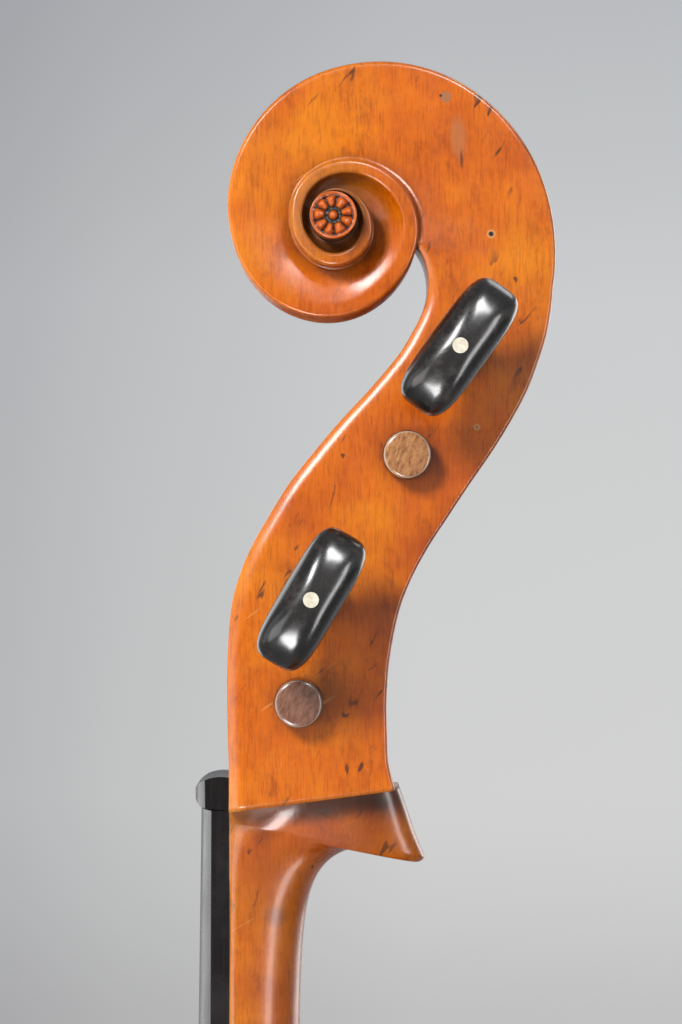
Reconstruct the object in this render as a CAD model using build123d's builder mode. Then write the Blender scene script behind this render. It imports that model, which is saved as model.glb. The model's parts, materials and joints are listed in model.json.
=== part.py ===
"""A full-size cello, unstrung: body, grafted neck, head, pegs, fingerboard and endpin.

Millimetres. +Z runs up the body, -Y is the front (the belly), +X is the treble side.
The origin is the point of the endpin, on the axis of the endpin hole.
"""

import os
from math import cos, pi, radians, sin

from build123d import *

os.makedirs("parts", exist_ok=True)

# ---- body ----
spike_length = 14.0
rod_showing = 22.0
flange_thickness = 9.0
overhang = 3.5
body_bottom = spike_length + rod_showing + flange_thickness - overhang
body_length = 755.0
upper_bout = 340.0
waist = 234.0
lower_bout = 436.0
rib_height = 116.0
rib_thickness = 1.8
edge_thickness = 4.6
edge_radius = 1.7
arch_rise = 20.5
hollow_rise = 21.0
plate_margin = 12.0
hollow_margin = 20.0
stop_length = 400.0
bridge_z = body_bottom + body_length - stop_length

# ---- purfling ----
purfling_inset = 4.5
purfling_depth = 2.0
purfling_black = 0.4
purfling_white = 0.5
purfling_white_depth = 1.4

# ---- inside of the body ----
lining_width = 2.4
lining_height = 17.0
bar_end_height = 6.0
block_length_top = 32.0
block_length_bottom = 30.0
block_half = 62.0
corner_block = 30.0
bar_length = 580.0
bar_thickness = 10.5
bar_height = 22.0
bar_offset = 44.0
post_radius = 5.6
post_offset = 40.0
post_behind = 12.0

# ---- neck and fingerboard ----
neck_tilt = 8.5
neck_length = 280.0
overstand = 20.0
neck_thickness = 19.4
neck_mortise = 8.0
root_width = 47.0
chin_half = 12.0
button_radius = 17.0
button_length = 20.0
nut_width = 32.0
board_length = 580.0
board_end_width = 63.0
board_edge = 5.2
board_rise = 3.4
board_end_edge = 7.0
board_end_rise = 9.2

# ---- head ----
eye = (30.0, 170.8)
eye_radius = 6.7
eye_half = 31.5
head_top = 216.0
cheek_half = 23.0
crown_half = 13.8
shoulder = (47.7, 6.3)
mortise_half = 15.5
mortise_top_half = 8.5
mortise_start = 9.5
# distance from the eye to the scroll's edge at each eighth of a turn, from straight back
eighth_radii = (62.6, 53.3, 42.5, 34.5, 30.4, 30.2, 30.4, 27.3, 24.4, 20.0, 16.4,
                14.0, 12.4, 12.9, 14.2, 13.3, 10.9, 8.9, 8.0, 7.5, 7.3)
throat_angle = 343.0
turn_halves = (22.5, 27.5)

# ---- pegs ----
peg_thin_radius = 6.75
peg_taper = 1 / 30
peg_clearance = 0.05
peg_end = 9.5
peg_collar_gap = 6.0
peg_collar_radius = 8.2
peg_collar_width = 3.5
peg_stem = 5.0
peg_stem_radius = 5.6
peg_head_length = 27.0
peg_head_width = 41.0
peg_head_root = 20.0
peg_head_crown = 5.0
peg_head_thickness = 16.0
peg_dot_radius = 2.2
peg_dot_depth = 2.0
string_hole_radius = 1.2
# name: (back from the glue plane, up from the nut, side of the head, lean of the head)
pegs = {
    "c": (20.1, 31.6, -1, 22.0),
    "a": (23.9, 61.9, 1, 30.5),
    "g": (51.1, 102.6, -1, 48.0),
    "d": (65.3, 132.4, 1, 36.0),
}

# ---- nut, saddle and endpin ----
nut_height = 7.0
nut_depth = 9.5
nut_crown = 3.0
saddle_width = 38.0
saddle_depth = 8.0
saddle_height = 9.0
saddle_round = 2.5
rod_radius = 5.0
rod_length = 430.0
rod_clearance = 0.06
plug_radius = 12.5
plug_length = 38.0
plug_taper = 1 / 17
flange_radius = 17.0
flange_round = 2.5
ferrule_radius = 9.0
ferrule_length = 12.0
screw_radius = 2.5
screw_clearance = 0.05
spike_point = 0.6
screw_head_radius = 8.0
screw_head_thickness = 4.0
screw_length = 14.0
screw_gap = 0.1

tilt = radians(neck_tilt)
body_top = body_bottom + body_length
front_plane = Plane(origin=(0, -rib_height / 2, body_bottom), x_dir=(1, 0, 0), z_dir=(0, -1, 0))
back_plane = Plane(origin=(0, rib_height / 2, body_bottom), x_dir=(-1, 0, 0), z_dir=(0, 1, 0))
rib_plane = Plane(origin=(0, 0, body_bottom), x_dir=(1, 0, 0), z_dir=(0, -1, 0))
glue_y = -rib_height / 2 - edge_thickness - overstand
nut_point = (0, glue_y + neck_length * sin(tilt), body_top + neck_length * cos(tilt))
# local x runs back through the neck, local y runs up it
side_plane = Plane(origin=nut_point, x_dir=(0, cos(tilt), -sin(tilt)), z_dir=(1, 0, 0))
# looks up the neck: local x is treble, local y is back
up_plane = Plane(origin=nut_point, x_dir=(1, 0, 0), z_dir=(0, sin(tilt), cos(tilt)))


def save(part, name):
    """Label a finished piece and write it to its own file."""
    part.label = name
    export_step(part, f"parts/{name}.step")


def neck_point(back, up, across=0.0):
    """A point given along the neck, in the cello's frame."""
    return side_plane.from_local_coords((back, up, across))


# ---- smooth outlines made of tangent arcs ----
def unit(x, y):
    """A direction of length one."""
    return Vector(x, y).normalized()


def arc_chain(points, start, end):
    """Tangent arcs through the points, leaving and arriving in the given directions."""
    places = [Vector(*point) for point in points]
    tangents = [unit(*start)]
    for before, here, after in zip(places, places[1:], places[2:]):
        back, on = here - before, after - here
        tangents.append((back / back.length**2 + on / on.length**2).normalized())
    tangents.append(unit(*end))
    for here, after, leave, arrive in zip(places, places[1:], tangents, tangents[1:]):
        span = after - here
        both = leave + arrive
        turn = 2 * (1 - leave.dot(arrive))
        if turn < 1e-9:
            Line(here, after)
            continue
        reach = (-span.dot(both) + (span.dot(both) ** 2 + turn * span.dot(span)) ** 0.5) / turn
        joint = (here + leave * reach + after - arrive * reach) / 2
        middle = (after - arrive * reach - here - leave * reach).normalized()
        TangentArc(here, joint, tangent=leave)
        TangentArc(joint, after, tangent=middle)


# ---- body outline ----
lower_corner = (lower_bout / 2 - 20.0, 268.0)
upper_corner = (upper_bout / 2 - 12.0, 512.0)
corner_end = 8.0


def half_outline():
    """The treble half of the body's outline as one open chain, from the foot to the top."""
    lower = lower_bout / 2
    upper = upper_bout / 2
    half_waist = waist / 2
    lower_x, lower_z = lower_corner
    upper_x, upper_z = upper_corner
    lower_inner = (lower_x - 0.65 * corner_end, lower_z + 0.76 * corner_end)
    upper_inner = (upper_x - 0.35 * corner_end, upper_z - 0.94 * corner_end)
    arc_chain(
        ((0, 0), (lower - 110, 19), (lower - 28, 82), (lower, 158), (lower - 15, 226),
         (lower_x, lower_z)), (1, 0), (0.5, 1),
    )
    Line((lower_x, lower_z), lower_inner)
    arc_chain(
        (lower_inner, (half_waist + 40, lower_z + 26), (half_waist + 8, lower_z + 72), (half_waist, 392),
         (half_waist + 9, 462), upper_inner), (-1, -0.04), (1, 0.3),
    )
    Line(upper_inner, (upper_x, upper_z))
    arc_chain(
        ((upper_x, upper_z), (upper - 15, upper_z + 48), (upper, 628), (upper - 20, 694),
         (upper - 85, 742), (0, body_length)), (-0.55, 1), (-1, 0),
    )


with BuildSketch() as outline_maker:
    with BuildLine():
        half_outline()
        mirror(about=Plane.YZ)
    make_face()
body_face = outline_maker.sketch.face()


def inset_face(inset):
    """The body's outline moved inwards."""
    with BuildSketch() as inner:
        add(body_face)
        if inset:
            offset(amount=-inset, kind=Kind.INTERSECTION)
    return inner.sketch


def slab(plane, inset, low, high):
    """The outline, moved inwards, as a slab between two heights over a plane."""
    with BuildPart() as block:
        with BuildSketch(plane.offset(low)):
            add(inset_face(inset))
        extrude(amount=high - low)
    return block.part


# ---- arching ----
def ease(share):
    """0 to 1, level at both ends."""
    return 0.5 - 0.5 * cos(pi * min(max(share, 0.0), 1.0))


arch_stations = ((0.0, 92.0), (0.2, lower_bout / 2), (0.525, waist / 2), (0.835, upper_bout / 2),
                 (1.0, 88.0))


def arch_half(up, margin):
    """Half the width of the arched part of a plate at a height up the body."""
    share = min(max(up / body_length, 0.0), 1.0)
    for (low, wide), (high, next_wide) in zip(arch_stations, arch_stations[1:]):
        if share <= high:
            return wide + (next_wide - wide) * ease((share - low) / (high - low)) - margin
    return arch_stations[-1][1] - margin


def arch_height(x, up, rise, margin):
    """Height of an arched plate over its edge."""
    along = min(abs(2 * (up - margin) / (body_length - 2 * margin) - 1), 1.0)
    across = min(abs(x) / arch_half(up, margin), 1.0)
    return rise * ease(1 - along**1.7) * ease(1 - across**1.25)


def arch_block(plane, rise, margin, level):
    """Everything from well inside the body out to an arched surface that starts at a level."""
    columns = 45
    rows = 75
    half = lower_bout / 2 + 14
    sink = 0.06
    grid = []
    for row in range(rows):
        up = -14 + (body_length + 40) * row / (rows - 1)
        line = []
        for column in range(columns):
            x = half * (2 * column / (columns - 1) - 1)
            line.append(plane.from_local_coords((x, up, level - sink + arch_height(x, up, rise, margin))))
        grid.append(line)
    surface = Face.make_surface_from_array_of_points(grid, tol=0.01, min_deg=3, max_deg=3)
    with BuildPart() as block:
        extrude(surface, amount=40, dir=-plane.z_dir)
    return block.part


def f_hole():
    """The treble f-hole as a closed face on the plate, in plate coordinates."""
    line_z = bridge_z - body_bottom
    with BuildSketch() as hole:
        with BuildLine() as stem:
            Spline(
                (50, line_z + 58), (53, line_z + 69), (62, line_z + 66), (69, line_z + 38),
                (75, line_z), (82, line_z - 38), (91, line_z - 66), (101, line_z - 68),
                (104, line_z - 57),
            )
        trace(stem.line, line_width=7.0)
        with Locations((50.5, line_z + 57)):
            Circle(5.4)
        with Locations((101.5, line_z - 56)):
            Circle(7.0)
        with Locations((75, line_z)):
            Rectangle(11.5, 1.6, rotation=-10)
    return hole.sketch



def plate_half(plane):
    """The treble half of an arched plate, with nothing cut into it yet."""
    with BuildPart() as edge:
        add(slab(plane, 0, 0, edge_thickness))
        rims = edge.faces().sort_by(Axis.Y)
        fillet(rims[0].edges() + rims[-1].edges(), radius=edge_radius)
        split(bisect_by=Plane.YZ, keep=Keep.TOP)
    with BuildPart() as dome:
        add(slab(plane, edge_radius, 1.0, edge_thickness + arch_rise + 5))
        split(bisect_by=Plane.YZ, keep=Keep.TOP)
        add(arch_block(plane, arch_rise, plate_margin, edge_thickness), mode=Mode.INTERSECT)
    with BuildPart() as whole:
        add(edge.part)
        add(dome.part)
        add(arch_block(plane, hollow_rise, hollow_margin, 0), mode=Mode.SUBTRACT)
    return whole.part


def ring(plane, inset, width, low, high):
    """A strip that follows the outline, between two heights over a plane."""
    with BuildPart() as strip:
        add(slab(plane, inset, low, high))
        add(slab(plane, inset + width, low, high), mode=Mode.SUBTRACT)
    return strip.part


def box_between(low, high):
    """A box given by its two corners."""
    size = [far - near for near, far in zip(low, high)]
    middle = [(near + far) / 2 for near, far in zip(low, high)]
    with BuildPart() as block:
        with Locations(tuple(middle)):
            Box(*size)
    return block.part


def mirrored(part):
    """The same piece on the bass side."""
    with BuildPart() as twin:
        add(part)
        mirror(about=Plane.YZ, mode=Mode.REPLACE)
    return twin.part


# ---- neck, cut to its outline; the shape also cuts the mortise in the body ----
root_z = body_top - overhang - neck_mortise
button_top = body_top + button_length
rib_inset = overhang + rib_thickness


def along_neck(y, z):
    """A point of the middle plane, measured back from the glue plane and up from the nut."""
    local = side_plane.to_local_coords(Vector(0, y, z))
    return (local.X, local.Y)


def neck_taper():
    """All that lies between the neck's two sides, seen from the front."""
    slope = (root_width - nut_width) / 2 / neck_length
    top = 12.0
    low = -neck_length - 40
    with BuildPart() as taper:
        with BuildSketch(Plane(origin=neck_point(-30, 0), x_dir=(1, 0, 0), z_dir=side_plane.x_dir)):
            with BuildLine():
                Polyline(
                    (-nut_width / 2 + slope * top, -top), (nut_width / 2 - slope * top, -top),
                    (nut_width / 2 - slope * low, -low), (-nut_width / 2 + slope * low, -low),
                    close=True,
                )
            make_face()
        extrude(amount=230)
    return taper.part


def heel_taper():
    """All that lies between the heel's two sides, seen from above."""
    wide = root_width / 2
    with BuildPart() as taper:
        with BuildSketch(Plane.XY.offset(root_z - 20)):
            with BuildLine():
                Polyline(
                    (-wide, glue_y - 40), (wide, glue_y - 40), (wide, -rib_height / 2),
                    (button_radius, rib_height / 2), (-button_radius, rib_height / 2),
                    (-wide, -rib_height / 2), close=True,
                )
            make_face()
        extrude(amount=400)
    return taper.part


def handle_section(depth, half):
    """The round-backed section of the neck, flat where the fingerboard is glued."""
    side = depth * 0.28
    with BuildSketch() as section:
        with BuildLine():
            Line((-half, 0), (half, 0))
            Line((half, 0), (half, side))
            Line((-half, 0), (-half, side))
            EllipticalCenterArc((0, side), half, depth - side, start_angle=0, arc_size=180)
        make_face()
    return section.sketch


chin_low = -42.0
heel_high = -196.0


def neck_half_at(up):
    """Half the neck's width at a height up the neck."""
    return nut_width / 2 - (root_width - nut_width) / 2 * up / neck_length


with BuildPart() as chin:
    with BuildSketch(side_plane):
        with BuildLine():
            chin_tip = (56.0, -12.2)
            Line((0, 0), shoulder)
            Spline(shoulder, (51.5, -0.5), (53.8, -7.0), chin_tip)
            Spline(chin_tip, (45.7, -11.6), (38.2, -10.4), (32.2, -11.5), (26.1, -16.1), (22.6, -25.0),
                   (neck_thickness + 0.5, chin_low))
            Polyline((neck_thickness + 0.5, chin_low), (0, chin_low), (0, 0))
        make_face()
    extrude(amount=cheek_half, both=True)
    with BuildSketch(up_plane.offset(chin_low - 5)):
        with BuildLine():
            Polyline(
                (-nut_width / 2, -5), (nut_width / 2, -5), (nut_width / 2, 8), (chin_half, 60),
                (-chin_half, 60), (-nut_width / 2, 8), close=True,
            )
        make_face()
    extrude(amount=70, mode=Mode.INTERSECT)

with BuildPart() as handle:
    with BuildSketch(up_plane.offset(chin_low)):
        add(handle_section(neck_thickness, neck_half_at(chin_low)))
    with BuildSketch(up_plane.offset(heel_high)):
        add(handle_section(neck_thickness + 2.1, neck_half_at(heel_high)))
    loft(ruled=True)

with BuildPart() as heel:
    with BuildSketch(side_plane):
        with BuildLine():
            throat = (neck_thickness + 2.1, heel_high)
            cap = along_neck(rib_height / 2, button_top)
            Line((0, heel_high), throat)
            Spline(throat, (24.5, -210.0), (36.0, -226.0), (62.0, -237.5), (100.0, -240.5), cap)
            Line(cap, along_neck(rib_height / 2, root_z))
            glue_foot = (0, -neck_length - neck_mortise - overhang)
            Line(along_neck(rib_height / 2, root_z), glue_foot)
            Line(glue_foot, (0, heel_high))
        make_face()
    extrude(amount=root_width, both=True)
    add(neck_taper(), mode=Mode.INTERSECT)
    add(heel_taper(), mode=Mode.INTERSECT)

with BuildPart() as neck:
    add(chin.part)
    add(handle.part)
    add(heel.part)

# ---- fingerboard, nut ----
def camber_section(half, edge, rise):
    """The fingerboard's section: flat where it is glued, crowned in front."""
    with BuildSketch() as section:
        with BuildLine():
            Polyline((-half, -edge), (-half, 0), (half, 0), (half, -edge))
            ThreePointArc((half, -edge), (0, -edge - rise), (-half, -edge))
        make_face()
    return section.sketch


board_body_end = -neck_length - neck_mortise - overhang
with BuildPart() as fingerboard:
    with BuildSketch(up_plane):
        add(camber_section(nut_width / 2, board_edge, board_rise))
    with BuildSketch(up_plane.offset(-board_length)):
        add(camber_section(board_end_width / 2, board_end_edge, board_end_rise))
    loft(ruled=True)
    with BuildSketch(up_plane.offset(board_body_end)):
        add(camber_section(0.3 * board_end_width, 0.2, 0.2 * board_end_rise))
    with BuildSketch(up_plane.offset(-board_length - 5)):
        add(camber_section(0.42 * board_end_width, 0.2, 0.9 * board_end_rise))
    loft(ruled=True, mode=Mode.SUBTRACT)

with BuildPart() as nut:
    with BuildSketch(side_plane):
        with BuildLine():
            Polyline((0, 0), (-8.8, 0.9), (-10.3, 2.8))
            Spline((-10.3, 2.8), (-9.5, 7.0), (-5.0, 9.5), (0, nut_depth))
            Line((0, nut_depth), (0, 0))
        make_face()
    extrude(amount=nut_width / 2, both=True)
    with BuildSketch(up_plane.offset(-1)):
        add(camber_section(nut_width / 2, nut_height, nut_crown + 0.3))
    extrude(amount=nut_depth + 2, mode=Mode.INTERSECT)
    add(neck_taper(), mode=Mode.INTERSECT)

# ---- head ----
def spiral_point(angle):
    """A point of the scroll's edge, the angle counted from straight back and growing inwards."""
    step = angle / 45
    first = min(int(step), len(eighth_radii) - 1)
    after = min(first + 1, len(eighth_radii) - 1)
    radius = eighth_radii[first] + (eighth_radii[after] - eighth_radii[first]) * (step - first)
    return (eye[0] + radius * cos(radians(angle)), eye[1] + radius * sin(radians(angle)))


throat_point = (eye[0] + 25.9 * cos(radians(throat_angle)), eye[1] + 25.9 * sin(radians(throat_angle)))


def cheek_at(up):
    """Half the head's width over the cheeks, at a height over the nut."""
    return cheek_half + (crown_half - cheek_half) * up / head_top


def turn_block(first_angle, half):
    """All the turns of the scroll inside the one that starts at an angle, as a raised step."""
    with BuildPart() as block:
        with BuildSketch(side_plane):
            with BuildLine():
                start = throat_point if first_angle == throat_angle else spiral_point(first_angle)
                first_step = int(first_angle // 45) + 1
                inner = [spiral_point(45 * n) for n in range(first_step, first_step + 8)]
                last = spiral_point(first_angle + 360)
                Spline(start, *inner, last)
                Line(last, start)
            make_face()
        extrude(amount=half, both=True)
    return block.part


with BuildPart() as head:
    with BuildSketch(side_plane):
        with BuildLine():
            Line((0, 0), shoulder)
            back_edge = ((45.6, 22), (45.5, 36), (47.6, 52), (52.3, 66.7), (60.2, 80.5), (69.3, 94.3),
                         (78.5, 108), (86.2, 121.8), (91.5, 136.5), (94.2, 153))
            turns = [spiral_point(45 * n) for n in range(8)]
            Spline(shoulder, *back_edge, *turns, throat_point)
            front_edge = ((57.9, 154.5), (55.0, 141.8), (46.8, 128.8), (32.2, 112.6), (17.2, 94.3),
                          (6.3, 75.9), (0.6, 58), (0, 42))
            Spline(throat_point, *front_edge)
            Line((0, 42), (0, 0))
        make_face()
    extrude(amount=cheek_half, both=True)
    with BuildSketch(Plane(origin=neck_point(-40, 0), x_dir=(1, 0, 0), z_dir=side_plane.x_dir)):
        with BuildLine():
            Polyline(
                (-cheek_half, 5), (cheek_half, 5), (cheek_half, 0), (cheek_at(head_top + 5), -head_top - 5),
                (-cheek_at(head_top + 5), -head_top - 5), (-cheek_half, 0), close=True,
            )
        make_face()
    extrude(amount=200, mode=Mode.INTERSECT)
    add(turn_block(throat_angle, turn_halves[0]))
    add(turn_block(throat_angle + 360, turn_halves[1]))
    with BuildSketch(side_plane):
        with Locations(eye):
            Circle(eye_radius)
    extrude(amount=eye_half, both=True)


def mortise():
    """The hollow of the pegbox."""
    with BuildPart() as hollow:
        with BuildSketch(side_plane):
            with BuildLine():
                Spline((4, mortise_start), (26, 16), (33, 32), (35, 44), (38.5, 58), (47, 76), (61, 97),
                       (73, 117), (80, 136), (76, 147))
                Line((76, 147), (60, 150))
                Spline((60, 150), (52, 146), (46, 133), (30, 116), (10, 92), (-6, 70))
                Line((-6, 70), (-8, mortise_start))
                Line((-8, mortise_start), (4, mortise_start))
            make_face()
        extrude(amount=mortise_half, both=True)
        with BuildSketch(Plane(origin=neck_point(-40, 0), x_dir=(1, 0, 0), z_dir=side_plane.x_dir)):
            with BuildLine():
                Polyline(
                    (-mortise_half, 0), (mortise_half, 0), (mortise_top_half, -150),
                    (-mortise_top_half, -150), close=True,
                )
            make_face()
        extrude(amount=200, mode=Mode.INTERSECT)
    return hollow.part


# ---- pegs ----
def peg_plane(back, up, side):
    """The peg's own plane: local z runs along the peg, out of the head on its side."""
    return Plane(origin=neck_point(back, up), x_dir=side_plane.y_dir, z_dir=(side, 0, 0))


def peg_thin_end(up):
    """How far the thin end of a peg reaches past the middle of the head."""
    return cheek_at(up) + peg_end


def peg_cone(plane, up, extra, low, high):
    """The peg's tapered shaft between two distances along it, made thicker by a clearance."""
    far = -peg_thin_end(up)
    low_radius = peg_thin_radius + extra + (low - far) * peg_taper / 2
    high_radius = peg_thin_radius + extra + (high - far) * peg_taper / 2
    with BuildPart(plane.offset(low)) as cone:
        Cone(low_radius, high_radius, high - low, align=(Align.CENTER, Align.CENTER, Align.MIN))
    return cone.part


def peg_axial(up):
    """Where the collar, the stem and the head of a peg begin, and where it ends."""
    collar = cheek_at(up) + peg_collar_gap
    stem = collar + peg_collar_width
    grip = stem + peg_stem
    return (collar, stem, grip, grip + peg_head_length)


def lean_plane(name):
    """The plane of a peg's flat head: local x across it, local y along the peg."""
    back, up, side, lean = pegs[name]
    across = side_plane.y_dir * cos(radians(lean)) + side_plane.x_dir * sin(radians(lean))
    return Plane(origin=neck_point(back, up), x_dir=across, z_dir=across.cross(Vector(side, 0, 0)))


def peg_grip(name):
    """The flat head of a peg that the fingers turn."""
    back, up, side, lean = pegs[name]
    low = peg_axial(up)[2]
    high = peg_axial(up)[3]
    root = peg_head_root / 2
    wide = peg_head_width / 2
    with BuildPart() as grip:
        with BuildSketch(lean_plane(name)):
            with BuildLine():
                Line((-root, low), (root, low))
                crown_low = high - peg_head_crown
                Spline((root, low), (wide - 1.5, low + 9), (wide, low + 16), (wide - 4, crown_low))
                ThreePointArc((wide - 4, crown_low), (0, high), (4 - wide, crown_low))
                Spline((4 - wide, crown_low), (-wide, low + 16), (1.5 - wide, low + 9), (-root, low))
            make_face()
        extrude(amount=peg_head_thickness / 2, both=True)
        chamfer(grip.faces().sort_by(Axis(neck_point(back, up), lean_plane(name).z_dir))[-1].edges(), 2.2)
        chamfer(grip.faces().sort_by(Axis(neck_point(back, up), lean_plane(name).z_dir))[0].edges(), 2.2)
    return grip.part


def make_peg(name):
    """One peg, turned and tapered, with its string hole and the seat of its dot."""
    back, up, side, lean = pegs[name]
    plane = peg_plane(back, up, side)
    collar, stem, _, crown = peg_axial(up)
    with BuildPart() as peg:
        add(peg_cone(plane, up, 0, -peg_thin_end(up), collar))
        fillet(peg.faces().sort_by(Axis.X)[0 if side > 0 else -1].edges(), radius=1.0)
        with Locations(plane.offset(collar)):
            Cylinder(peg_collar_radius, peg_collar_width, align=(Align.CENTER, Align.CENTER, Align.MIN))
        with Locations(plane.offset(stem - 0.1)):
            Cylinder(peg_stem_radius, peg_stem + 0.3, align=(Align.CENTER, Align.CENTER, Align.MIN))
        add(peg_grip(name))
        with Locations(plane.offset(crown - peg_dot_depth)):
            Cylinder(peg_dot_radius, peg_dot_depth + 2, align=(Align.CENTER, Align.CENTER, Align.MIN),
                     mode=Mode.SUBTRACT)
        with Locations(Plane(origin=neck_point(back, up), x_dir=(1, 0, 0), z_dir=side_plane.x_dir)):
            Cylinder(string_hole_radius, 40, mode=Mode.SUBTRACT)
    return peg.part


for peg_name, (peg_back, peg_up, peg_side, peg_lean) in pegs.items():
    save(make_peg(peg_name), f"peg_{peg_name}")
    dot_plane = peg_plane(peg_back, peg_up, peg_side).offset(peg_axial(peg_up)[3] - peg_dot_depth)
    with BuildPart(dot_plane) as dot:
        Cylinder(peg_dot_radius, peg_dot_depth + 0.3, align=(Align.CENTER, Align.CENTER, Align.MIN))
    save(dot.part, f"peg_dot_{peg_name}")

with BuildPart() as carved_head:
    add(head.part)
    add(mortise(), mode=Mode.SUBTRACT)
    for peg_back, peg_up, peg_side, peg_lean in pegs.values():
        add(peg_cone(peg_plane(peg_back, peg_up, peg_side), peg_up, peg_clearance, -cheek_half - 5,
                     cheek_half + 5), mode=Mode.SUBTRACT)
save(carved_head.part, "head")
save(fingerboard.part, "fingerboard")
save(nut.part, "nut")
save(neck.part, "neck")

# ---- ribs, linings and blocks ----
corner_levels = (body_bottom + lower_corner[1] + 0.38 * corner_end,
                 body_bottom + upper_corner[1] - 0.47 * corner_end)
levels = (body_bottom - 10, *corner_levels, body_top + 10)
bouts = {
    name: (low, high) for name, low, high in zip(("lower", "middle", "upper"), levels, levels[1:])
}
sides = {"bass": -1, "treble": 1}
inner_bottom = body_bottom + rib_inset
inner_top = body_top - rib_inset


def side_box(side, low, high, near=0.0):
    """Everything on one side of the body between two heights."""
    reach = lower_bout
    across = sorted((side * near, side * reach))
    return box_between((across[0], -rib_height, low), (across[1], rib_height, high))


def block_shape(across, up):
    """A block inside the ribs, in the full height of the ribs."""
    with BuildPart() as block:
        add(slab(rib_plane, rib_inset, -rib_height / 2, rib_height / 2))
        add(box_between((across[0], -rib_height, up[0]), (across[1], rib_height, up[1])),
            mode=Mode.INTERSECT)
    return block.part


def plug_cone(low, high):
    """The endpin plug's tapered body between two heights."""
    seat = body_bottom + overhang
    with BuildPart(Plane.XY.offset(low)) as cone:
        Cone(plug_radius - (low - seat) * plug_taper / 2, plug_radius - (high - seat) * plug_taper / 2,
             high - low, align=(Align.CENTER, Align.CENTER, Align.MIN))
    return cone.part


with BuildPart() as top_block:
    add(block_shape((-block_half, block_half), (inner_top - block_length_top, body_top)))
    add(neck.part, mode=Mode.SUBTRACT)
save(top_block.part, "top_block")

with BuildPart() as bottom_block:
    add(block_shape((-block_half, block_half), (body_bottom, inner_bottom + block_length_bottom)))
    add(plug_cone(body_bottom, inner_bottom + block_length_bottom + 2), mode=Mode.SUBTRACT)
save(bottom_block.part, "bottom_block")

corner_blocks = {}
for bout_name, corner, level in (("lower", lower_corner, corner_levels[0]),
                                 ("upper", upper_corner, corner_levels[1])):
    for side_name, side in sides.items():
        across = sorted((side * (corner[0] - 1.25 * corner_block), side * (corner[0] + corner_block)))
        made = block_shape(across, (level - 0.8 * corner_block, level + 0.8 * corner_block))
        corner_blocks[bout_name, side_name] = made
        save(made, f"{bout_name}_corner_block_{side_name}")

whole_ribs = ring(rib_plane, overhang, rib_thickness, -rib_height / 2, rib_height / 2)
front_lining = ring(rib_plane, rib_inset, lining_width, rib_height / 2 - lining_height, rib_height / 2)
back_lining = ring(rib_plane, rib_inset, lining_width, -rib_height / 2, lining_height - rib_height / 2)
for bout_name, (low, high) in bouts.items():
    for side_name, side in sides.items():
        with BuildPart() as rib:
            add(whole_ribs)
            add(side_box(side, low, high), mode=Mode.INTERSECT)
            if bout_name == "upper":
                add(neck.part, mode=Mode.SUBTRACT)
            if bout_name == "lower":
                add(plug_cone(body_bottom, inner_bottom + 5), mode=Mode.SUBTRACT)
        save(rib.part, f"rib_{bout_name}_{side_name}")
        for place, strip in (("front", front_lining), ("back", back_lining)):
            with BuildPart() as lining:
                add(strip)
                near = 0 if bout_name == "middle" else block_half
                add(side_box(side, low, high, near), mode=Mode.INTERSECT)
                if bout_name != "upper":
                    add(corner_blocks["lower", side_name], mode=Mode.SUBTRACT)
                if bout_name != "lower":
                    add(corner_blocks["upper", side_name], mode=Mode.SUBTRACT)
            save(lining.part, f"lining_{bout_name}_{side_name}_{place}")

# ---- bass bar and sound post ----
front_hollow = arch_block(front_plane, hollow_rise, hollow_margin, 0)
back_hollow = arch_block(back_plane, hollow_rise, hollow_margin, 0)

bar_low = bridge_z - 0.55 * bar_length
with BuildPart() as bass_bar:
    with BuildSketch(Plane(origin=(-bar_offset, 0, 0), x_dir=(0, 1, 0), z_dir=(1, 0, 0))):
        with BuildLine():
            crest = -rib_height / 2 - hollow_rise - 2
            Line((crest, bar_low), (crest, bar_low + bar_length))
            foot = -rib_height / 2 + bar_end_height
            deep = -rib_height / 2 - hollow_rise + bar_height + 1
            Line((crest, bar_low), (foot - 12, bar_low))
            Line((crest, bar_low + bar_length), (foot - 12, bar_low + bar_length))
            Spline((foot - 12, bar_low), (foot - 5, bar_low + bar_length / 6), (deep, bridge_z),
                   (foot - 5, bar_low + bar_length * 5 / 6), (foot - 12, bar_low + bar_length))
        make_face()
    extrude(amount=bar_thickness / 2, both=True)
    add(front_hollow, mode=Mode.INTERSECT)
save(bass_bar.part, "bass_bar")

post_plane = Plane(origin=(post_offset, 0, bridge_z - post_behind), x_dir=(1, 0, 0), z_dir=(0, 1, 0))
with BuildPart(post_plane) as rough_post:
    Cylinder(post_radius, rib_height + 2 * hollow_rise + 10)
with BuildPart() as front_end:
    add(rough_post.part)
    add(front_hollow, mode=Mode.INTERSECT)
with BuildPart() as back_end:
    add(rough_post.part)
    add(back_hollow, mode=Mode.INTERSECT)
with BuildPart() as sound_post:
    with Locations(Plane(origin=(post_offset, 0, bridge_z - post_behind), x_dir=(1, 0, 0), z_dir=(0, 1, 0))):
        Cylinder(post_radius, rib_height - 10)
    add(front_end.part)
    add(back_end.part)
save(sound_post.part, "sound_post")

# ---- plates, purfling and saddle ----
purfling_width = 2 * purfling_black + purfling_white
saddle_top = body_bottom + saddle_depth


def saddle_seat(front):
    """The place of the saddle in the lower edge of the top plate."""
    low_corner = (-saddle_width / 2, front, body_bottom - 1)
    return box_between(low_corner, (saddle_width / 2, -rib_height / 2, saddle_top))


def purfling(plane, inner):
    """The black strip with its channel, or the white strip that lies in the channel."""
    if inner:
        return ring(plane, purfling_inset + purfling_black, purfling_white,
                    edge_thickness - purfling_white_depth, edge_thickness)
    with BuildPart() as black:
        add(ring(plane, purfling_inset, purfling_width, edge_thickness - purfling_depth, edge_thickness))
        add(purfling(plane, True), mode=Mode.SUBTRACT)
    return black.part


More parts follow.
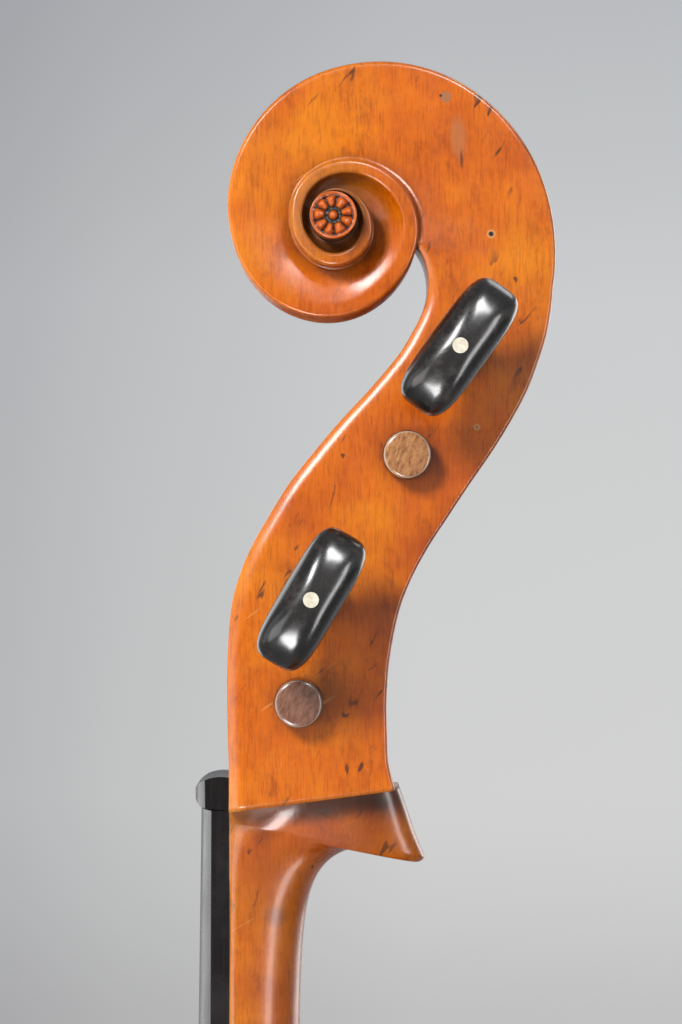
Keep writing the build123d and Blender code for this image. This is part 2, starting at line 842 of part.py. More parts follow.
with BuildPart() as saddle:
    add(box_between((-saddle_width / 2, -rib_height / 2 - saddle_height, body_bottom),
                    (saddle_width / 2, -rib_height / 2, saddle_top)))
    fillet(saddle.edges().filter_by(Axis.X).group_by(Axis.Y)[0], radius=saddle_round)
save(saddle.part, "saddle")

with BuildPart() as button:
    with BuildSketch(back_plane):
        with BuildLine():
            centre = body_length + button_length - button_radius
            right, left = (button_radius, centre), (-button_radius, centre)
            root = body_length - 12
            Polyline(right, (button_radius, root), (-button_radius, root), left)
            ThreePointArc(left, (0, body_length + button_length), right)
        make_face()
    extrude(amount=edge_thickness)
    split(bisect_by=Plane.YZ, keep=Keep.TOP)

for plate_name, plane in (("top", front_plane), ("back", back_plane)):
    with BuildPart() as groove:
        add(ring(plane, purfling_inset, purfling_width, edge_thickness - purfling_depth, edge_thickness + 5))
    with BuildPart() as plate:
        add(plate_half(plane))
        if plate_name == "back":
            add(button.part)
        add(groove.part, mode=Mode.SUBTRACT)
        if plate_name == "top":
            with BuildSketch(front_plane):
                add(f_hole())
            extrude(amount=60, mode=Mode.SUBTRACT)
            add(neck.part, mode=Mode.SUBTRACT)
            add(saddle_seat(-rib_height), mode=Mode.SUBTRACT)
    save(plate.part, f"{plate_name}_plate_treble")
    save(mirrored(plate.part), f"{plate_name}_plate_bass")
    for strip_name, inner in (("black", False), ("white", True)):
        with BuildPart() as strip:
            add(purfling(plane, inner))
            if plate_name == "top":
                add(neck.part, mode=Mode.SUBTRACT)
                add(saddle_seat(-rib_height), mode=Mode.SUBTRACT)
        save(strip.part, f"{plate_name}_purfling_{strip_name}")

# ---- endpin ----
flange_low = body_bottom + overhang - flange_thickness
ferrule_low = flange_low - ferrule_length
screw_z = flange_low - ferrule_length / 2

with BuildPart() as endpin_plug:
    add(plug_cone(body_bottom + overhang, body_bottom + overhang + plug_length))
    with BuildSketch(Plane.XY.offset(flange_low)):
        Circle(flange_radius)
    extrude(amount=flange_thickness)
    fillet(endpin_plug.edges().filter_by(GeomType.CIRCLE).group_by(Axis.Z)[0], radius=flange_round)
    with Locations((0, 0, flange_low)):
        Cylinder(rod_radius + rod_clearance, 200, mode=Mode.SUBTRACT)
save(endpin_plug.part, "endpin_plug")

with BuildPart() as ferrule:
    with Locations((0, 0, ferrule_low)):
        Cylinder(ferrule_radius, ferrule_length, align=(Align.CENTER, Align.CENTER, Align.MIN))
    chamfer(ferrule.edges().group_by(Axis.Z)[0], length=0.8)
    with Locations((0, 0, ferrule_low)):
        Cylinder(rod_radius + rod_clearance, 200, mode=Mode.SUBTRACT)
    with Locations(Plane(origin=(0, -ferrule_radius, screw_z), x_dir=(1, 0, 0), z_dir=(0, -1, 0))):
        Cylinder(screw_radius + screw_clearance, 2 * ferrule_radius - 4, mode=Mode.SUBTRACT)
save(ferrule.part, "endpin_ferrule")

with BuildPart() as endpin_rod:
    with Locations((0, 0, spike_length)):
        Cylinder(rod_radius, rod_length, align=(Align.CENTER, Align.CENTER, Align.MIN))
    chamfer(endpin_rod.edges().group_by(Axis.Z)[-1], length=0.6)
    Cone(spike_point, rod_radius, spike_length, align=(Align.CENTER, Align.CENTER, Align.MIN))
save(endpin_rod.part, "endpin_rod")

screw_seat = rod_radius + screw_gap
with BuildPart(Plane(origin=(0, -screw_seat, screw_z), x_dir=(1, 0, 0), z_dir=(0, -1, 0))) as endpin_screw:
    Cylinder(screw_radius, screw_length + 1, align=(Align.CENTER, Align.CENTER, Align.MIN))
    with Locations((0, 0, screw_length)):
        Cylinder(screw_head_radius, screw_head_thickness, align=(Align.CENTER, Align.CENTER, Align.MIN))
    with PolarLocations(screw_head_radius + 0.6, 14):
        with Locations((0, 0, screw_length - 1)):
            Cylinder(1.2, screw_head_thickness + 3, align=(Align.CENTER, Align.CENTER, Align.MIN),
                     mode=Mode.SUBTRACT)
save(endpin_screw.part, "endpin_screw")
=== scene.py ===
import json
from math import cos, pi, radians, sin, sqrt

import bmesh
import bpy
from mathutils import Matrix, Vector


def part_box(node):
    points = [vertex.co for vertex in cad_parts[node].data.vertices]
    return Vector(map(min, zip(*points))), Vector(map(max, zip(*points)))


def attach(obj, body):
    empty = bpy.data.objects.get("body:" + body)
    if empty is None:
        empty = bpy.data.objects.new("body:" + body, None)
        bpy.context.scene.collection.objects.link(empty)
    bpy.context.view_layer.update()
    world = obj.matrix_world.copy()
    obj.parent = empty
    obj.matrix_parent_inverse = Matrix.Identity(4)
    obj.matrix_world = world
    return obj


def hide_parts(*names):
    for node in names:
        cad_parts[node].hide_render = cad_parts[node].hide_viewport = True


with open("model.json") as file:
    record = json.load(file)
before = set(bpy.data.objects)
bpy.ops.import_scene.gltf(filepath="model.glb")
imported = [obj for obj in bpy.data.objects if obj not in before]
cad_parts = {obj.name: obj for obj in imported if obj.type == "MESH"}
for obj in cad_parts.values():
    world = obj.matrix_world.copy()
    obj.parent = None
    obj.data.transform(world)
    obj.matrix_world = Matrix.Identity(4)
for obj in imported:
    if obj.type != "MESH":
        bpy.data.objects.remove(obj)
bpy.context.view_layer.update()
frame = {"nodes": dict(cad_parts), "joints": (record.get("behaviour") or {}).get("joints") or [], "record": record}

jointRows = {row["name"]: row for row in frame["joints"]}

# the neck's own axes: back runs away from the strings, up runs along the neck
tilt = radians(8.5)
backAxis = Vector((0, cos(tilt), -sin(tilt)))
upAxis = Vector((0, sin(tilt), cos(tilt)))
pegPlaces = {"c": (20.1, 31.6, -1), "a": (23.9, 61.9, 1), "g": (51.1, 102.6, -1), "d": (65.3, 132.4, 1)}
nutPoint = (Vector(jointRows["peg_c_turn"]["pos_m"])
            - backAxis * pegPlaces["c"][0] / 1000 - upAxis * pegPlaces["c"][1] / 1000)


def neckPoint(x, back, up):
    # millimetres along the neck to metres in the frame
    return Vector((x / 1000, 0, 0)) + nutPoint + backAxis * back / 1000 + upAxis * up / 1000


def mix(a, b, share):
    return a + (b - a) * share


def smooth(low, high, value):
    share = min(max((value - low) / (high - low), 0), 1)
    return share * share * (3 - 2 * share)


def between(before, here, after, later, t):
    # Catmull-Rom, the share t of the way from here to after; numbers or vectors
    bend = 2 * before - 5 * here + 4 * after - later
    twist = 3 * here - before - 3 * after + later
    return 0.5 * (2 * here + (after - before) * t + bend * t * t + twist * t ** 3)


def curveThrough(points, count, steps=16):
    # a smooth curve through the points, count places at even distances along it
    places = [Vector(p) for p in points]
    ends = [places[0] * 2 - places[1]] + places + [places[-1] * 2 - places[-2]]
    fine = []
    for four in zip(ends, ends[1:], ends[2:], ends[3:]):
        fine.extend(between(*four, step / steps) for step in range(steps))
    fine.append(places[-1])
    lengths = [0]
    for a, b in zip(fine, fine[1:]):
        lengths.append(lengths[-1] + (b - a).length)
    out = []
    spot = 0
    for n in range(count):
        goal = lengths[-1] * n / (count - 1)
        while spot < len(fine) - 2 and lengths[spot + 1] < goal:
            spot += 1
        span = lengths[spot + 1] - lengths[spot]
        out.append(fine[spot].lerp(fine[spot + 1], (goal - lengths[spot]) / span if span else 0))
    return out


def makeObject(name, points, faces, body, stands, material, mergeAt=0.00001):
    mesh = bpy.data.meshes.new(name)
    mesh.from_pydata(points, [], faces)
    bm = bmesh.new()
    bm.from_mesh(mesh)
    bmesh.ops.remove_doubles(bm, verts=bm.verts, dist=mergeAt)
    bmesh.ops.dissolve_degenerate(bm, edges=bm.edges, dist=0.000001)
    bmesh.ops.recalc_face_normals(bm, faces=bm.faces)
    bm.to_mesh(mesh)
    bm.free()
    thing = bpy.data.objects.new(name, mesh)
    bpy.context.scene.collection.objects.link(thing)
    for face in mesh.polygons:
        face.use_smooth = True
    mesh.materials.append(material)
    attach(thing, body)
    if stands:
        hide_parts(*stands)
    return thing


# node helpers
def newMaterial(name):
    material = bpy.data.materials.new(name)
    material.use_nodes = True
    tree = material.node_tree
    return material, tree, tree.nodes["Principled BSDF"]


def place(tree, scale=(1, 1, 1), turn=0.0):
    # object coordinates, turned about the sideways axis and then stretched
    coordinates = tree.nodes.new("ShaderNodeTexCoord")
    turned = tree.nodes.new("ShaderNodeMapping")
    turned.inputs["Rotation"].default_value = (turn, 0, 0)
    tree.links.new(coordinates.outputs["Object"], turned.inputs["Vector"])
    stretched = tree.nodes.new("ShaderNodeMapping")
    stretched.inputs["Scale"].default_value = scale
    tree.links.new(turned.outputs["Vector"], stretched.inputs["Vector"])
    return stretched.outputs["Vector"]


def noise(tree, where, scale, detail=4, roughness=0.55, distortion=0.0):
    made = tree.nodes.new("ShaderNodeTexNoise")
    made.inputs["Scale"].default_value = scale
    made.inputs["Detail"].default_value = detail
    made.inputs["Roughness"].default_value = roughness
    made.inputs["Distortion"].default_value = distortion
    tree.links.new(where, made.inputs["Vector"])
    return made.outputs["Fac"]


def ramp(tree, value, stops):
    made = tree.nodes.new("ShaderNodeValToRGB")
    line = made.color_ramp
    while len(line.elements) < len(stops):
        line.elements.new(0.5)
    for element, (where, colour) in zip(line.elements, stops):
        element.position = where
        element.color = colour if len(colour) == 4 else (*colour, 1)
    tree.links.new(value, made.inputs["Fac"])
    return made.outputs["Color"]


def blendColour(tree, low, high, share, how="MIX"):
    made = tree.nodes.new("ShaderNodeMix")
    made.data_type = "RGBA"
    made.blend_type = how
    for socket, value in ((made.inputs[6], low), (made.inputs[7], high), (made.inputs[0], share)):
        if isinstance(value, bpy.types.NodeSocket):
            tree.links.new(value, socket)
        elif isinstance(value, (int, float)):
            socket.default_value = value
        else:
            socket.default_value = (*value, 1)
    return made.outputs[2]


def maths(tree, how, first, second=0.0, clamp=False):
    made = tree.nodes.new("ShaderNodeMath")
    made.operation = how
    made.use_clamp = clamp
    for socket, value in ((made.inputs[0], first), (made.inputs[1], second)):
        if isinstance(value, bpy.types.NodeSocket):
            tree.links.new(value, socket)
        else:
            socket.default_value = value
    return made.outputs[0]


def bump(tree, shader, height, strength, distance):
    made = tree.nodes.new("ShaderNodeBump")
    made.inputs["Strength"].default_value = strength
    made.inputs["Distance"].default_value = distance
    tree.links.new(height, made.inputs["Height"])
    tree.links.new(made.outputs["Normal"], shader.inputs["Normal"])


def srgb(red, green, blue):
    # screen colour, 0 to 255, to the linear values that the shaders take
    shares = (red / 255, green / 255, blue / 255)
    return tuple(((v + 0.055) / 1.055) ** 2.4 if v > 10 / 255 else v / 12.92 for v in shares)


print("varnish")
varnish = {
    "gold": srgb(228, 128, 2),
    "orange": srgb(214, 104, 0),
    "red": srgb(182, 74, 2),
    # dark brown for dirt and nicks, also laid into the hollows as painted shade
    "dirtAndShade": srgb(58, 34, 20),
    "worn": srgb(226, 160, 84),
    # grey-black for grime in the eye, also its painted shade between the petals
    "grime": srgb(44, 36, 32),
    "shine": 0.16,
    "coat": 0.45,
    "coatRoughness": 0.17,
    "hollowReach": 0.008,
}


def spotMask(tree, centre, radius, soft=0.25, stretch=(1, 1, 1), turn=0.0):
    # 1 inside a round place on the surface, 0 outside; centre in the frame's metres
    where = place(tree)
    shifted = tree.nodes.new("ShaderNodeVectorMath")
    shifted.operation = "SUBTRACT"
    tree.links.new(where, shifted.inputs[0])
    shifted.inputs[1].default_value = centre
    turned = tree.nodes.new("ShaderNodeVectorRotate")
    turned.rotation_type = "X_AXIS"
    turned.inputs["Angle"].default_value = turn
    tree.links.new(shifted.outputs[0], turned.inputs["Vector"])
    scaled = tree.nodes.new("ShaderNodeVectorMath")
    scaled.operation = "MULTIPLY"
    scaled.inputs[1].default_value = stretch
    tree.links.new(turned.outputs[0], scaled.inputs[0])
    length = tree.nodes.new("ShaderNodeVectorMath")
    length.operation = "LENGTH"
    tree.links.new(scaled.outputs[0], length.inputs[0])
    ranged = tree.nodes.new("ShaderNodeMapRange")
    ranged.inputs["From Min"].default_value = radius * (1 - soft)
    ranged.inputs["From Max"].default_value = radius * (1 + soft)
    ranged.inputs["To Min"].default_value = 1
    ranged.inputs["To Max"].default_value = 0
    tree.links.new(length.outputs["Value"], ranged.inputs["Value"])
    return ranged.outputs["Result"]


def makeVarnish(name, flame=0.25, grainTurn=tilt, scars=True, darker=0.0, spots=(), eyeTop=0.0):
    material, tree, shader = newMaterial(name)
    # soft clouds of gold, orange and red
    clouds = noise(tree, place(tree), 20, 6, 0.62)
    colour = ramp(tree, clouds, [(0.3, varnish["red"]), (0.46, varnish["orange"]), (0.62, varnish["gold"])])
    # flames lie across the grain
    flames = noise(tree, place(tree, (2, 10, 70), grainTurn), 1.4, 3, 0.6, 0.6)
    flameColour = ramp(tree, flames, [(0.36, (0.72, 0.6, 0.5)), (0.62, (1.08, 1.1, 1.12))])
    colour = blendColour(tree, colour, flameColour, flame, "MULTIPLY")
    # fine pores run with the grain
    grain = noise(tree, place(tree, (900, 900, 80), grainTurn), 1.6, 5, 0.75)
    stops = [(0.38, (0.68, 0.58, 0.5)), (0.5, (1, 1, 1)), (0.66, (1.08, 1.08, 1.06))]
    colour = blendColour(tree, colour, ramp(tree, grain, stops), 0.75, "MULTIPLY")
    # grime rubbed into the varnish
    grime = noise(tree, place(tree, (1, 1.6, 1)), 65, 8, 0.78)
    stops = [(0.36, (0.6, 0.5, 0.42)), (0.47, (0.96, 0.94, 0.9)), (0.62, (1.05, 1.06, 1.06))]
    colour = blendColour(tree, colour, ramp(tree, grime, stops), 0.7, "MULTIPLY")
    # dirt and painted shade lie in the hollows, darker where ambient occlusion finds the surface closed in
    geometry = tree.nodes.new("ShaderNodeNewGeometry")
    hollow = tree.nodes.new("ShaderNodeAmbientOcclusion")
    hollow.samples = 6
    hollow.inputs["Distance"].default_value = varnish["hollowReach"]
    closed = ramp(tree, hollow.outputs["AO"], [(0.3, (1, 1, 1)), (0.85, (0, 0, 0))])
    patchy = noise(tree, place(tree), 90, 5, 0.7)
    dirtAndShadeShare = maths(tree, "MULTIPLY", closed, maths(tree, "ADD", patchy, 0.15), True)
    colour = blendColour(tree, colour, varnish["dirtAndShade"], dirtAndShadeShare)
    if scars:
        # small dark nicks, mostly along the grain
        nicks = noise(tree, place(tree, (300, 300, 110), grainTurn + 0.5), 1.0, 2, 0.4, 0.8)
        nickShare = ramp(tree, nicks, [(0.675, (0, 0, 0)), (0.715, (1, 1, 1))])
        field = ramp(tree, noise(tree, place(tree), 28, 2), [(0.42, (0, 0, 0)), (0.56, (0.85, 0.85, 0.85))])
        colour = blendColour(tree, colour, varnish["dirtAndShade"], maths(tree, "MULTIPLY", nickShare, field))
        # pale hair-fine scratches
        lines = noise(tree, place(tree, (30, 420, 30), 1.1), 1.0, 2, 0.5, 1.2)
        lineShare = ramp(tree, lines, [(0.735, (0, 0, 0)), (0.76, (0.55, 0.55, 0.55))])
        colour = blendColour(tree, colour, varnish["worn"], lineShare)
    # worn bright edges
    edge = ramp(tree, geometry.outputs["Pointiness"], [(0.525, (0, 0, 0)), (0.6, (0.5, 0.5, 0.5))])
    edgeShare = maths(tree, "MULTIPLY", edge, maths(tree, "ADD", patchy, 0.3), True)
    colour = blendColour(tree, colour, varnish["worn"], edgeShare)
    for centre, radius, tint, strength, soft, stretch, turn in spots:
        mask = maths(tree, "MULTIPLY", spotMask(tree, centre, radius, soft, stretch, turn), strength)
        colour = blendColour(tree, colour, tint, mask)
    if eyeTop:
        # grime and painted shade between the petals of the eye, darker where the carving sinks deeper
        sides = tree.nodes.new("ShaderNodeSeparateXYZ")
        tree.links.new(place(tree), sides.inputs[0])
        sunk = tree.nodes.new("ShaderNodeMapRange")
        sunk.inputs["From Min"].default_value = eyeTop - 0.0007
        sunk.inputs["From Max"].default_value = eyeTop - 0.0016
        tree.links.new(maths(tree, "ABSOLUTE", sides.outputs[0]), sunk.inputs["Value"])
        petals = spotMask(tree, neckPoint(0, *scroll["eye"]), 0.0059, 0.04, (0, 1, 1))
        eyeGrimeAndShade = maths(tree, "MULTIPLY", sunk.outputs["Result"], petals)
        colour = blendColour(tree, colour, varnish["grime"], eyeGrimeAndShade)
    if darker:
        colour = blendColour(tree, colour, varnish["dirtAndShade"], darker)
    tree.links.new(colour, shader.inputs["Base Color"])
    rough = ramp(tree, noise(tree, place(tree), 60, 4), [(0.3, (0.2, 0.2, 0.2)), (0.75, (0.36, 0.36, 0.36))])
    tree.links.new(rough, shader.inputs["Roughness"])
    shader.inputs["Specular IOR Level"].default_value = varnish["shine"]
    shader.inputs["Coat Weight"].default_value = varnish["coat"]
    shader.inputs["Coat Roughness"].default_value = varnish["coatRoughness"]
    height = maths(tree, "ADD", grain, maths(tree, "MULTIPLY", grime, 0.8))
    bump(tree, shader, height, 0.2, 0.0004)
    return material


print("head")
scroll = {
    "eye": (30.0, 170.8),
    "eyeRadius": 6.7,
    "eyeRings": 14,
    "eyeDepth": 2.1,
    "petals": 9,
    "petalHeight": 2.0,
    "button": 0.22,
    "radii": (63.4, 54.4, 43.8, 35.0, 30.4, 29.5, 28.6, 26.3, 24.4, 20.0, 16.4,
              14.0, 12.4, 12.9, 14.2, 13.3, 10.9, 8.9, 7.65, 6.9, 6.7),
    "halves": ((-17, 16.4), (0, 15.8), (90, 14.2), (180, 14.5), (270, 16.0), (360, 18.5), (450, 20.5),
               (540, 22.3), (630, 24.2), (720, 26.0), (810, 29.5), (900, 31.3)),
    "coves": ((-17, 0.0), (40, 1.2), (110, 2.2), (250, 2.6), (345, 3.2), (400, 5.2), (500, 6.0), (700, 6.6),
              (800, 5.0), (900, 0.0)),
    "rims": ((-17, 2.6), (250, 2.6), (340, 3.0), (700, 2.4), (830, 1.2), (900, 0.2)),
    "opening": 8.0,
    "openingBefore": 6,
    "step": 3,
    "across": 20,
    "acrossBack": 28,
    "chamfer": 1.1,
    "flute": 2.3,
}
pegboxRows = {
    "back": ((47.7, 6.3), (45.9, 14), (45.5, 22), (45.4, 33), (46.4, 45), (48.9, 57.5), (52.3, 66.7),
             (57.2, 75.9), (63.2, 85.1), (69.3, 94.3), (75.6, 103.4), (81.3, 112.6), (86.2, 121.8),
             (89.7, 131.0), (92.0, 138.5), (93.6, 147.7), (93.9, 151.3)),
    "front": ((0, 0), (0, 12), (-0.4, 25), (-0.5, 42), (0.5, 57.5), (2.6, 66.7), (6.3, 75.9), (11.5, 85.1),
              (17.2, 94.3), (24.4, 103.4), (32.2, 112.6), (40.8, 121.8), (48.6, 131), (52.4, 136.9),
              (55.7, 143.1), (57.6, 148.6), (57.9, 153.8), (56.9, 158.9), (54.8, 163.1)),
    "rows": 110,
    "lowHalf": 23.0,
    "topHalf": 16.4,
    "mortiseStart": 0.06,
    "mortiseEnd": 0.9,
}


def table(rows, value):
    # value from (where, value) rows, straight between them
    for (low, first), (high, second) in zip(rows, rows[1:]):
        if value <= high:
            return mix(first, second, min(max((value - low) / (high - low), 0), 1))
    return rows[-1][1]


def spiralRadius(angle):
    # smooth through the eighth-turn radii, opening out before the first of them
    radii = scroll["radii"]
    if angle >= 45 * (len(radii) - 1):
        return scroll["eyeRadius"]
    if angle < 0:
        return radii[0] + scroll["opening"] * (angle / -45)
    step = angle / 45
    first = int(step)
    spot = [radii[min(max(n, 0), len(radii) - 1)] for n in (first - 1, first, first + 1, first + 2)]
    if first == 0:
        spot[0] = radii[0] + scroll["openingBefore"]
    return between(*spot, step - first)


def spiralPlace(angle, radius=None):
    radius = spiralRadius(angle) if radius is None else radius
    turn = radians(angle)
    return Vector((scroll["eye"][0] + radius * cos(turn), scroll["eye"][1] + radius * sin(turn)))


def coveShape(share, angle):
    soft = share ** 1.3
    steep = 1 - (1 - share) ** 3.2
    return mix(soft, steep, smooth(300, 420, angle))


def sideProfile(outer, inner, half, depth, rim, angle):
    # points (back, up, x) from the outer edge to the inner edge of one side
    chamfer = scroll["chamfer"]
    width = (inner - outer).length
    steps = []
    edge = min(chamfer, width * 0.25)
    flat = min(rim + chamfer, width * 0.6)
    steps.append((0.0, half - min(chamfer, width)))
    steps.append((0.25 * edge, half - 0.42 * min(chamfer, width)))
    steps.append((edge * 0.6, half - 0.12 * min(chamfer, width)))
    steps.append((edge, half))
    count = scroll["across"]
    for n in range(1, count + 1):
        # three steps over the flat rim, the rest down the cove
        away = edge + (flat - edge) * n / 3 if n <= 3 else flat + (width - flat) * ((n - 3) / (count - 3))
        share = max((away - flat) / (width - flat), 0) if width > flat + 0.001 else 0
        steps.append((away, half - depth * coveShape(share, angle)))
    return [(*outer.lerp(inner, away / width if width > 0.0001 else 0), x) for away, x in steps]


def fluteProfile(edge, half, inward, deep):
    # from the treble edge over two flutes and a middle ridge to the bass edge
    out = []
    count = scroll["acrossBack"]
    for n in range(count + 1):
        x = half * (1 - 2 * n / count)
        share = abs(x) / half
        rim = smooth(1.0, 0.86, share)
        ridge = smooth(0.0, 0.12, share)
        dip = deep * rim * ridge * (0.35 + 0.65 * sin(pi * share))
        sunk = edge + inward * dip
        out.append((sunk.x, sunk.y, x))
    return out


def addStrip(points, faces, rows):
    base = len(points)
    width = len(rows[0])
    for row in rows:
        points.extend(neckPoint(x, back, up) for back, up, x in row)
    for r in range(len(rows) - 1):
        for c in range(width - 1):
            a = base + r * width + c
            faces.append((a, a + 1, a + width + 1, a + width))


def flip(rows):
    return [[(back, up, -x) for back, up, x in row] for row in rows]


def makeHead(material):
    points, faces = [], []
    start = -18
    step = scroll["step"]
    angles = list(range(start, 901, step))
    # pegbox rows between the back and the front edge, ending on the first ray
    rows = pegboxRows["rows"]
    backs = curveThrough(pegboxRows["back"], rows)
    backs = [b + (spiralPlace(start) - backs[-1]) * (n / (rows - 1)) ** 6 for n, b in enumerate(backs)]
    fronts = curveThrough(pegboxRows["front"], rows)
    apex = spiralPlace(start + 360)
    fronts = [f + (apex - fronts[-1]) * (n / (rows - 1)) ** 6 for n, f in enumerate(fronts)]
    cheeks, flutes, boxRows = [], [], []
    for n, (back, front) in enumerate(zip(backs, fronts)):
        share = n / (rows - 1)
        height = min(front.y * 0.4 + back.y * 0.6, 155)
        half = mix(pegboxRows["lowHalf"], pegboxRows["topHalf"], height / 152)
        if n == rows - 1:
            half = table(scroll["halves"], start)
        cheeks.append(sideProfile(back, front, half, 0.0, 2.4, start))
        cheeks[-1][-2] = (*back.lerp(front, 1 - 0.35 / (back - front).length), half - 0.12)
        cheeks[-1][-1] = (front.x, front.y, half - 0.6)
        inward = (front - back).normalized()
        deepening = scroll["flute"] * smooth(0.02, 0.3, share)
        flutes.append(fluteProfile(back, half - scroll["chamfer"], inward, deepening))
        # the hollow between the cheeks, or the closed front above and below it
        begins, ends = pegboxRows["mortiseStart"], pegboxRows["mortiseEnd"]
        opened = smooth(begins, begins + 0.012, share) * (1 - smooth(ends - 0.01, ends, share))
        wall = mix(7.0, 6.2, share)
        inner = max(half - wall, 4)
        deep = ((back - front).length - 10) * opened
        down = (back - front).normalized()
        row = [(front.x, front.y, half - 0.6), (*front, mix(half - 2, inner + 0.8, opened))]
        row.append((*(front + down * min(0.8, deep)), inner))
        for k in range(1, 7):
            row.append((*(front + down * (deep * k / 6)), inner - 0.6 * k / 6))
        for k in range(1, 8):
            row.append((*(front + down * deep), (inner - 0.6) * (1 - 2 * k / 8)))
        boxRows.append(row + [(b, u, -x) for b, u, x in reversed(row[:9])])
    addStrip(points, faces, cheeks)
    addStrip(points, faces, flip(cheeks))
    addStrip(points, faces, boxRows)
    # the turns
    turnRows, wallRows = [], []
    for angle in angles:
        outer = spiralPlace(angle)
        inner = spiralPlace(angle + 360)
        half = table(scroll["halves"], angle)
        depth = table(scroll["coves"], angle)
        turnRows.append(sideProfile(outer, inner, half, depth, table(scroll["rims"], angle), angle))
        if angle <= 342:
            ahead = spiralPlace(angle + 1) - spiralPlace(angle - 1)
            inward = Vector((-ahead.y, ahead.x)).normalized()
            fade = 1 - smooth(300, 342, angle) * 0.6
            flutes.append(fluteProfile(outer, half - min(scroll["chamfer"], (inner - outer).length), inward,
                                       scroll["flute"] * fade))
        if angle >= 342:
            low = table(scroll["halves"], angle - 360) - table(scroll["coves"], angle - 360)
            top = half - min(scroll["chamfer"], (inner - outer).length)
            wallRows.append([(outer.x, outer.y, mix(low, top, k / 6)) for k in range(7)])
    turnRows[0] = cheeks[-1]
    addStrip(points, faces, turnRows)
    addStrip(points, faces, flip(turnRows))
    addStrip(points, faces, flutes)
    # the eye's own wall and its carved face
    for angle in range(900 + step, 1261, step):
        before = angle - 360
        low = table(scroll["halves"], before) - table(scroll["coves"], before)
        edge = spiralPlace(angle)
        wallRows.append([(edge.x, edge.y, mix(low, table(scroll["halves"], 900), k / 6)) for k in range(7)])
    addStrip(points, faces, wallRows)
    addStrip(points, faces, flip(wallRows))
    eyeRows = []
    top = table(scroll["halves"], 900)
    button = scroll["button"]
    rings = scroll["eyeRings"]
    for ring in range(rings + 1):
        share = 1 - ring / rings
        row = []
        for angle in range(900, 1261, step):
            turn = radians(angle)
            petal = abs(sin(scroll["petals"] / 2 * turn + 0.3 + 0.2 * sin(3 * turn))) ** 0.6
            lift = 0.0
            if 0.30 < share < 0.88:
                rounded = smooth(0.3, 0.45, share) * (1 - smooth(0.72, 0.88, share) * 0.75)
                lift = -scroll["eyeDepth"] + scroll["petalHeight"] * petal * rounded
            elif share <= 0.30:
                dome = sqrt(1 - (share / button) ** 2) if share < button else 0
                lift = scroll["petalHeight"] * dome - scroll["eyeDepth"]
            edge = spiralPlace(angle, scroll["eyeRadius"] * share)
            row.append((edge.x, edge.y, top + lift))
        eyeRows.append(row)
    addStrip(points, faces, eyeRows)
    addStrip(points, faces, flip(eyeRows))
    # the flat foot that is glued to the neck
    base = len(points)
    foot = [neckPoint(x, b, u) for b, u, x in cheeks[0]] + [neckPoint(x, b, u) for b, u, x in boxRows[0]]
    foot += [neckPoint(-x, b, u) for b, u, x in reversed(cheeks[0])]
    foot += [neckPoint(x, b, u) for b, u, x in reversed(flutes[0])]
    points.extend(foot)
    faces.append(tuple(range(base, base + len(foot))))
    return makeObject("head_carved", points, faces, "body", ["head"], material, 0.00002)


headSpots = [
    # painted shade: a dark bowl round the eye, where the turns shade the hollow
    (neckPoint(20, *scroll["eye"]), 0.0125, srgb(88, 56, 34), 0.55, 0.4, (0.05, 1, 1), 0),
    (neckPoint(31, *scroll["eye"]), 0.0069, srgb(205, 92, 8), 0.9, 0.04, (0.8, 1, 1), 0),
    # pin holes with a pale rim and near-black middles, painted shade for holes that are not modelled, an old plug
    # and a scar
    (neckPoint(15, 75.5, 166.4), 0.0012, srgb(226, 170, 110), 0.8, 0.2, (0.3, 1, 1), 0),
    (neckPoint(15, 75.5, 166.4), 0.0008, (0.01, 0.008, 0.006), 1.0, 0.2, (0.3, 1, 1), 0),
    (neckPoint(16, 71.3, 110.6), 0.0011, srgb(226, 170, 110), 0.8, 0.2, (0.3, 1, 1), 0),
    (neckPoint(16, 71.3, 110.6), 0.0007, (0.01, 0.008, 0.006), 1.0, 0.2, (0.3, 1, 1), 0),
    (neckPoint(14, 62.4, 206.0), 0.0016, srgb(150, 112, 82), 0.75, 0.2, (0.3, 1, 1), 0),
    (neckPoint(14, 61.0, 206.4), 0.0005, (0.02, 0.012, 0.01), 0.9, 0.2, (0.3, 1, 1), 0),
    (neckPoint(14, 66.0, 194.5), 0.0035, srgb(186, 112, 62), 0.7, 0.3, (0.3, 1.6, 0.62), 0.1),
    (neckPoint(14, 67.0, 188.0), 0.0012, (0.03, 0.02, 0.015), 0.7, 0.4, (0.3, 3.0, 0.5), 0.1),
]
eyeTop = table(scroll["halves"], 900) / 1000
headVarnish = makeVarnish("head varnish", 0.18, spots=headSpots, eyeTop=eyeTop)
head = makeHead(headVarnish)
print("head faces", len(head.data.polygons))

